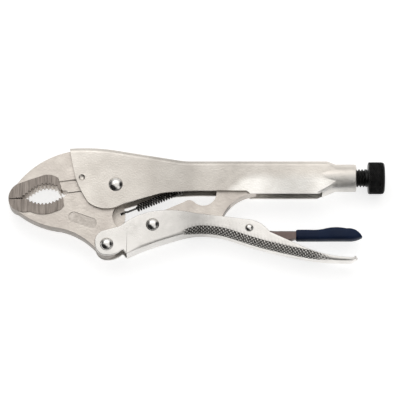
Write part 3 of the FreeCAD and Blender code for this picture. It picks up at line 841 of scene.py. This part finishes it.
def build_spring():
    """One wire: a hook, the coils and the far hook, from the jaw to the frame."""
    node = "extension_spring"
    low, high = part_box(node)
    forward = Vector((math.cos(SPRING_ANGLE), math.sin(SPRING_ANGLE), 0))
    sideways = Vector((-math.sin(SPRING_ANGLE), math.cos(SPRING_ANGLE), 0))
    upward = Vector((0, 0, 1))
    total = COIL_START + COIL_LENGTH + FAR_LEG + 2 * RING_RADIUS
    centre = (low + high) / 2
    eye = Vector((centre.x, centre.y, MID_Z)) - forward * (total / 2)

    def place(distance, lateral, lift):
        return eye + forward * distance + sideways * lateral + upward * lift

    near_leg = COIL_START - LEG_OVERLAP
    near = hook(near_leg, -1.0, near_leg - 2 * RING_RADIUS)
    far = hook(COIL_START + COIL_LENGTH + LEG_OVERLAP, 1.0, FAR_LEG - LEG_OVERLAP)
    turns = COIL_LENGTH / COIL_PITCH
    path = [place(distance, 0.0, lift) for distance, lift in reversed(near)]
    steps = int(turns * COIL_STEPS)
    for step in range(steps + 1):
        share = step / steps
        angle = 2 * math.pi * turns * share
        reach = COIL_RADIUS * smoothstep(share, 0.0, 0.02) * (1.0 - smoothstep(share, 0.98, 1.0))
        path.append(place(COIL_START + COIL_LENGTH * share,
                          reach * math.cos(angle), reach * math.sin(angle)))
    path += [place(distance, 0.0, lift) for distance, lift in far]
    points, faces = tube(path, WIRE_RADIUS)
    piece = add_piece("extension_spring_wire", node, points, faces)
    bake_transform(piece)


# ---------------------------------------------------------------- lever sleeve

NOSE_LENGTH = 8.0 * MM
NOSE_LIFT = 2.2 * MM
LIP_DROP = 0.10
SLEEVE_START = 1.0 * MM
SLEEVE_COLUMNS = 44
SQUARENESS = 0.62


def squared(value):
    """A cosine or sine pushed outward, so that a circle becomes a rounded square."""
    return math.copysign(abs(value) ** SQUARENESS, value)


def sleeve_loop(x, outline, floor_y):
    """One section of the dip: its lower edge is level, then lifts towards the nose."""
    low, high = outline.low, outline.high
    into_nose = max(0.0, (x - (high.x - NOSE_LENGTH)) / NOSE_LENGTH)
    top = outline.top(x)
    level = max(outline.bottom(x), floor_y + NOSE_LIFT * into_nose ** 2)
    bottom = min(level, top - 0.1 * MM)
    width = (high.z - low.z) / 2 * math.sqrt(max(0.02, 1.0 - 0.8 * into_nose ** 2.5))
    lip = 1.0 - LIP_DROP * (1.0 - smoothstep(x - low.x, SLEEVE_START, SLEEVE_START + 0.9 * MM))
    middle, half = (top + bottom) / 2, (top - bottom) / 2
    return [Vector((x, middle + half * lip * squared(math.sin(angle)),
                    MID_Z - width * lip * squared(math.cos(angle))))
            for angle in spread(0.0, 2 * math.pi, SLEEVE_COLUMNS)[:-1]]


def build_sleeve():
    """The dipped grip on the release lever, from its lip to its rounded nose."""
    node = "lever_sleeve"
    outline = Outline(node, MID_Z)
    length = outline.high.x - outline.low.x
    floor_y = outline.bottom(outline.low.x + length / 2)
    start, reach = outline.low.x + SLEEVE_START, length - SLEEVE_START - 0.05 * MM
    loops = [sleeve_loop(start + reach * math.sin(math.pi / 2 * share), outline, floor_y)
             for share in spread(0.0, 1.0, 70)]
    points, faces = loft(loops)
    piece = add_piece("lever_sleeve_dipped", node, points, faces)
    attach(piece, bodies[node])


# ---------------------------------------------------------------- finishes on the CAD pieces

for node_name, slot in slots.items():
    finish(nodes[node_name], FINISHES[slot])
ROUND_WIDTHS = {
    "upper_handle": 0.6 * MM, "fixed_jaw": 0.3 * MM, "lower_jaw": 0.3 * MM,
    "toggle_link": 0.4 * MM, "release_lever": 0.3 * MM,
}
for node_name, width in ROUND_WIDTHS.items():
    soften(nodes[node_name], width)

build_lower_handle()
build_screw()
build_knob()
build_spring()
build_sleeve()


# ---------------------------------------------------------------- stage, light and camera

FLOOR_GLOW = 0.72
FLOOR_REACH = 3.0
FLOOR_GAP = 0.2 * MM


def add_floor():
    corners = [(x * FLOOR_REACH, y * FLOOR_REACH, 0)
               for x, y in ((-1, -1), (1, -1), (1, 1), (-1, 1))]
    mesh = bpy.data.meshes.new("floor")
    mesh.from_pydata(corners, [], [(0, 1, 2, 3)])
    floor = bpy.data.objects.new("floor", mesh)
    floor.location.z = -FLOOR_GAP
    bpy.context.scene.collection.objects.link(floor)
    mesh.materials.append(floor_paint("floor_paint", FLOOR_GLOW))


def add_area_light(name, place, target, size, power):
    data = bpy.data.lights.new(name, "AREA")
    data.shape = "RECTANGLE"
    data.size, data.size_y = size
    data.energy = power
    lamp = bpy.data.objects.new(name, data)
    lamp.location = place
    lamp.rotation_euler = (Vector(target) - Vector(place)).to_track_quat("-Z", "Y").to_euler()
    bpy.context.scene.collection.objects.link(lamp)


def world_value(tree, operation, first, second):
    """One calculation in the sky's node tree, on numbers or sockets."""
    node = tree.nodes.new("ShaderNodeMath")
    node.operation = operation
    for socket, value in zip(node.inputs, (first, second)):
        if isinstance(value, (int, float)):
            socket.default_value = value
        else:
            tree.links.new(value, socket)
    return node.outputs["Value"]


def card(tree, direction, towards, inner, outer, level):
    """A soft round card in the sky: its level within the inner angle, nothing beyond the outer.

    A negative level darkens the sky behind the card.
    """
    dot = tree.nodes.new("ShaderNodeVectorMath")
    dot.operation = "DOT_PRODUCT"
    tree.links.new(direction, dot.inputs[0])
    dot.inputs[1].default_value = Vector(towards).normalized()
    spot = tree.nodes.new("ShaderNodeMapRange")
    spot.interpolation_type = "SMOOTHSTEP"
    spot.inputs["From Min"].default_value = math.cos(math.radians(outer))
    spot.inputs["From Max"].default_value = math.cos(math.radians(inner))
    spot.inputs["To Max"].default_value = level
    tree.links.new(dot.outputs["Value"], spot.inputs["Value"])
    return spot.outputs["Result"]


HORIZON_LEVEL = 0.12
DARKEST_LEVEL = 0.02
SKY_CARDS = (
    # towards, inner angle, outer angle, level
    ((0.0, 0.20, 1.0), 26.0, 62.0, 0.78),
    ((0.1, 1.0, 0.50), 22.0, 60.0, 0.60),
    ((-0.60, -0.60, 0.62), 18.0, 42.0, -0.80),
    ((0.95, 0.20, 0.50), 8.0, 26.0, -0.60),
    ((0.75, -0.75, 0.75), 8.0, 24.0, 0.70),
)


def add_world():
    """A dim dome with three bright cards and two dark ones for the metal to mirror."""
    world = bpy.data.worlds.new("soft_studio")
    world.use_nodes = True
    tree = world.node_tree
    direction = tree.nodes.new("ShaderNodeTexCoord").outputs["Generated"]
    level = HORIZON_LEVEL
    for towards, inner, outer, strength in SKY_CARDS:
        spot = card(tree, direction, towards, inner, outer, strength)
        level = world_value(tree, "ADD", spot, level)
    level = world_value(tree, "MAXIMUM", level, DARKEST_LEVEL)
    background = tree.nodes["Background"]
    background.inputs["Color"].default_value = (1.0, 0.992, 0.98, 1.0)
    tree.links.new(level, background.inputs["Strength"])
    bpy.context.scene.world = world


KEY_PLACE = (-0.25, 0.45, 0.75)
KEY_SIZE = (0.5, 0.35)
KEY_POWER = 0.6
FRAME_PIXELS = 400
SENSOR_MM = 36.0
CAMERA_DISTANCE = 2.0
PLANE_SCALE = 0.660 * MM
CAMERA_TILT = math.radians(14.5)
VIEW_CENTRE = JAW_PIVOT + Vector((55.46, -8.64, 0.0)) * MM


def add_camera():
    """The photo's view: a long lens tilted from above, at a set scale in the view centre."""
    data = bpy.data.cameras.new("camera")
    data.sensor_width = SENSOR_MM
    data.lens = SENSOR_MM * CAMERA_DISTANCE / (FRAME_PIXELS * PLANE_SCALE)
    data.clip_start = 0.01
    camera = bpy.data.objects.new("camera", data)
    camera.location = VIEW_CENTRE + CAMERA_DISTANCE * Vector(
        (0.0, -math.sin(CAMERA_TILT), math.cos(CAMERA_TILT)))
    camera.rotation_euler = (CAMERA_TILT, 0.0, 0.0)
    bpy.context.scene.collection.objects.link(camera)
    bpy.context.scene.camera = camera


add_floor()
add_world()
add_area_light("key", KEY_PLACE, VIEW_CENTRE, KEY_SIZE, KEY_POWER)
add_camera()
bpy.context.scene.view_settings.view_transform = "Standard"
